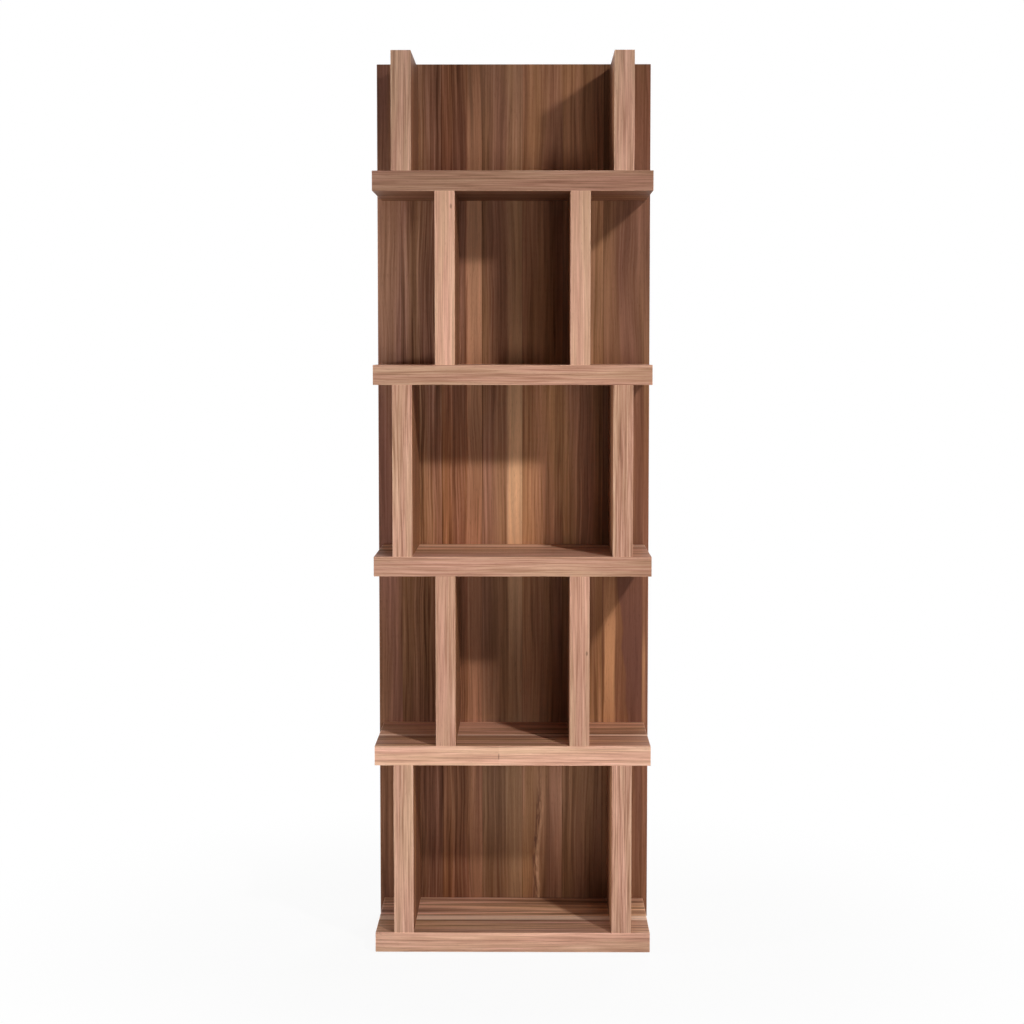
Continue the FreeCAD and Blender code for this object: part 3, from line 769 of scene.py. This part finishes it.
NYLON_BUMP = 0.00005


def beech():
    finish = Finish("plain_beech")
    place = finish.place()
    fibre = finish.grain(place, BEECH_FIBRE, detail=3.0)
    flecks = finish.grain(place, BEECH_FLECKS, detail=1.0).rise(*BEECH_FLECK_SPREAD)
    color = finish.ramp(fibre, BEECH_COLORS)
    color = finish.mix(flecks * BEECH_FLECK_STRENGTH, color, BEECH_FLECK_COLOR)
    roughness = BEECH_ROUGH + fibre * BEECH_FIBRE_ROUGH
    return finish.surface(color, roughness, fibre - flecks, BEECH_BUMP)


def zinc_steel():
    finish = Finish("zinc_plated_steel")
    place = finish.place()
    spangle = finish.grain(place, ZINC_SPANGLE, detail=3.0)
    brushed = finish.grain(place, ZINC_BRUSHED)
    color = finish.ramp(spangle, ZINC_COLORS)
    roughness = ZINC_ROUGH + spangle * ZINC_SPANGLE_ROUGH + brushed * ZINC_BRUSHED_ROUGH
    height = brushed + spangle * ZINC_SPANGLE_HEIGHT
    return finish.surface(color, roughness, height, ZINC_BUMP, Metallic=1.0)


def nylon():
    finish = Finish("dark_nylon")
    place = finish.place()
    grain = finish.grain(place, NYLON_GRAIN)
    scuff = finish.grain(place, NYLON_SCUFFS, detail=3.0).rise(*NYLON_SCUFF_SPREAD)
    color = finish.mix(scuff, NYLON_DARK, NYLON_SCUFFED)
    return finish.surface(color, NYLON_ROUGH + scuff * NYLON_SCUFF_ROUGH, grain, NYLON_BUMP)


def dress(node, material):
    for slot in nodes[node].material_slots:
        slot.material = material


LIPPING_GRADES = {
    "pale": (1.15, 1.20, 1.25),
    "fair": (1.00, 1.06, 1.10),
    "middling": (0.90, 0.92, 0.94),
    "brown": (0.80, 0.81, 0.82),
    "dark": (0.60, 0.58, 0.58),
}
QUIET, PLAIN, LIVELY = 0.70, 1.00, 1.30
STRAIGHT, WAVY = 0.006, 0.012
LIPPING_LOOKS = {
    # grade of tone, contrast of the grain, and its waviness in metres
    "shelf_1": ("pale", PLAIN, STRAIGHT),
    "shelf_2": ("pale", PLAIN, STRAIGHT),
    "shelf_3": ("brown", PLAIN, WAVY),
    "shelf_4": ("brown", PLAIN, WAVY),
    "shelf_5": ("dark", PLAIN, STRAIGHT),
    "upright_1_left": ("fair", PLAIN, STRAIGHT),
    "upright_1_right": ("middling", LIVELY, STRAIGHT),
    "upright_2_left": ("middling", PLAIN, WAVY),
    "upright_2_right": ("middling", PLAIN, STRAIGHT),
    "upright_3_left": ("middling", LIVELY, STRAIGHT),
    "upright_3_right": ("brown", LIVELY, WAVY),
    "upright_4_left": ("pale", QUIET, STRAIGHT),
    "upright_4_right": ("fair", QUIET, STRAIGHT),
    "upright_5_left": ("fair", PLAIN, STRAIGHT),
    "upright_5_right": ("fair", PLAIN, STRAIGHT),
}
LIPPING_KNOTS = {
    # way across from the strip's middle, height above the floor and radius, in metres
    "upright_4_left": [(0.014, 1.666, 0.0032)],
    "upright_2_right": [(0.016, 0.679, 0.0030)],
}
LIPPING_BUTTS = {"shelf_2": -0.031}

dress("back_panel", panel_veneer())
lipping_number = 0
for level in LEVELS:
    dress(f"shelf_{level}", shelf_veneer(level))
    boards = [f"shelf_{level}"]
    for hand in HANDS:
        dress(f"upright_{level}_{hand}", upright_veneer(level, hand))
        boards.append(f"upright_{level}_{hand}")
    for board in boards:
        lipping_number += 1
        grade, contrast, waviness = LIPPING_LOOKS[board]
        dress(f"{board}_lipping", edge_lipping(
            f"{board}_lipping",
            board.startswith("shelf"),
            lipping_number,
            LIPPING_GRADES[grade],
            contrast,
            waviness,
            LIPPING_KNOTS.get(board, ()),
            LIPPING_BUTTS.get(board),
        ))
beech_finish = beech()
for level in LEVELS:
    dress(f"shelf_{level}_dowels", beech_finish)
zinc_finish = zinc_steel()
for node in ("back_panel_screws", "hanger_plate_left", "hanger_plate_right", "hanger_screws"):
    dress(node, zinc_finish)
dress("floor_glides", nylon())

FLOOR_SIZE = 30.0
FLOOR_COLOR = (0.88, 0.88, 0.88)
FLOOR_WHITE = 0.93
SHADOW_REACH = (0.45, 1.5)
FILL_COLOR = (1.0, 0.99, 0.98)
FILL_STRENGTH = 0.11
SHELF_MIDST = (0.0, 0.0, 1.0)
LENS = 74.43
CAMERA_PLACE = (0.0384, -4.833, 1.349)
CAMERA_TARGET = (-0.0013, -0.165, 0.9946)


def seen(finish):
    """1 for what the camera, metal or glass sees, 0 for what lights the object."""
    rays = [
        finish.node("ShaderNodeLightPath", output=f"Is {kind} Ray")
        for kind in ("Camera", "Glossy", "Transmission")
    ]
    return rays[0].most(rays[1]).most(rays[2])


def studio_floor():
    """A pale floor that looks white, but for the object's shadow near it."""
    sheet = bmesh.new()
    bmesh.ops.create_grid(sheet, x_segments=1, y_segments=1, size=FLOOR_SIZE)
    mesh = bpy.data.meshes.new("studio_floor")
    sheet.to_mesh(mesh)
    sheet.free()
    floor = bpy.data.objects.new("studio_floor", mesh)
    bpy.context.scene.collection.objects.link(floor)
    finish = Finish("pale_floor")
    x, y, _ = finish.place()
    far = (x * x + y * y) ** 0.5
    share = seen(finish) * (FLOOR_WHITE + far.rise(*SHADOW_REACH) * (1.0 - FLOOR_WHITE))
    matt = finish.node("ShaderNodeBsdfDiffuse", None, {"Color": FLOOR_COLOR})
    white = finish.node("ShaderNodeEmission", None, {"Color": WHITE, "Strength": 1.0})
    blend = finish.node("ShaderNodeMixShader", None, [share, matt, white])
    finish.node("ShaderNodeOutputMaterial", None, {"Surface": blend})
    mesh.materials.append(finish.owner)


def studio_world():
    """Soft fill from all round, and plain white where the camera, metal or glass sees it."""
    finish = Finish("white_studio", "worlds")
    fill = {"Color": FILL_COLOR, "Strength": FILL_STRENGTH}
    light = finish.node("ShaderNodeBackground", None, fill)
    white = finish.node("ShaderNodeBackground", None, {"Color": WHITE, "Strength": 1.0})
    blend = finish.node("ShaderNodeMixShader", None, [seen(finish), light, white])
    finish.node("ShaderNodeOutputWorld", None, {"Surface": blend})
    bpy.context.scene.world = finish.owner


def aim(thing, target):
    thing.rotation_euler = (Vector(target) - thing.location).to_track_quat("-Z", "Y").to_euler()


def studio_lamp(name, energy, place, target=SHELF_MIDST, size=1.0, spread=180.0, color=WHITE):
    lamp = bpy.data.lights.new(name, "AREA")
    lamp.color = color
    lamp.shape = "DISK"
    lamp.size = size
    lamp.energy = energy
    lamp.spread = math.radians(spread)
    held = bpy.data.objects.new(name, lamp)
    held.location = place
    held.visible_camera = False
    held.visible_glossy = False
    bpy.context.scene.collection.objects.link(held)
    aim(held, target)


def photo_camera():
    data = bpy.data.cameras.new("photo_camera")
    data.lens = LENS
    camera = bpy.data.objects.new("photo_camera", data)
    camera.location = CAMERA_PLACE
    bpy.context.scene.collection.objects.link(camera)
    aim(camera, CAMERA_TARGET)
    bpy.context.scene.camera = camera


studio_floor()
studio_world()
studio_lamp(
    "key_lamp",
    energy=6.1,
    place=(1.60, -2.80, 2.90),
    target=(0.0, -0.165, 1.0),
    size=0.26,
    spread=46.0,
    color=(1.0, 0.97, 0.94),
)
studio_lamp("front_lamp", energy=39.0, place=(1.00, -4.08, 1.00))
studio_lamp("side_lamp", energy=90.0, place=(-4.00, -1.40, 0.75), color=(0.95, 1.0, 1.06))
studio_lamp("rear_lamp", energy=100.0, place=(1.20, 4.20, 1.80), size=1.4)
studio_lamp("right_lamp", energy=60.0, place=(4.00, 0.90, 1.00))
studio_lamp(
    "floor_bounce", energy=3.6, place=(0.0, -0.80, 0.012), target=(0.0, -0.80, 1.0), size=1.2
)
photo_camera()
bpy.context.scene.view_settings.view_transform = "Standard"
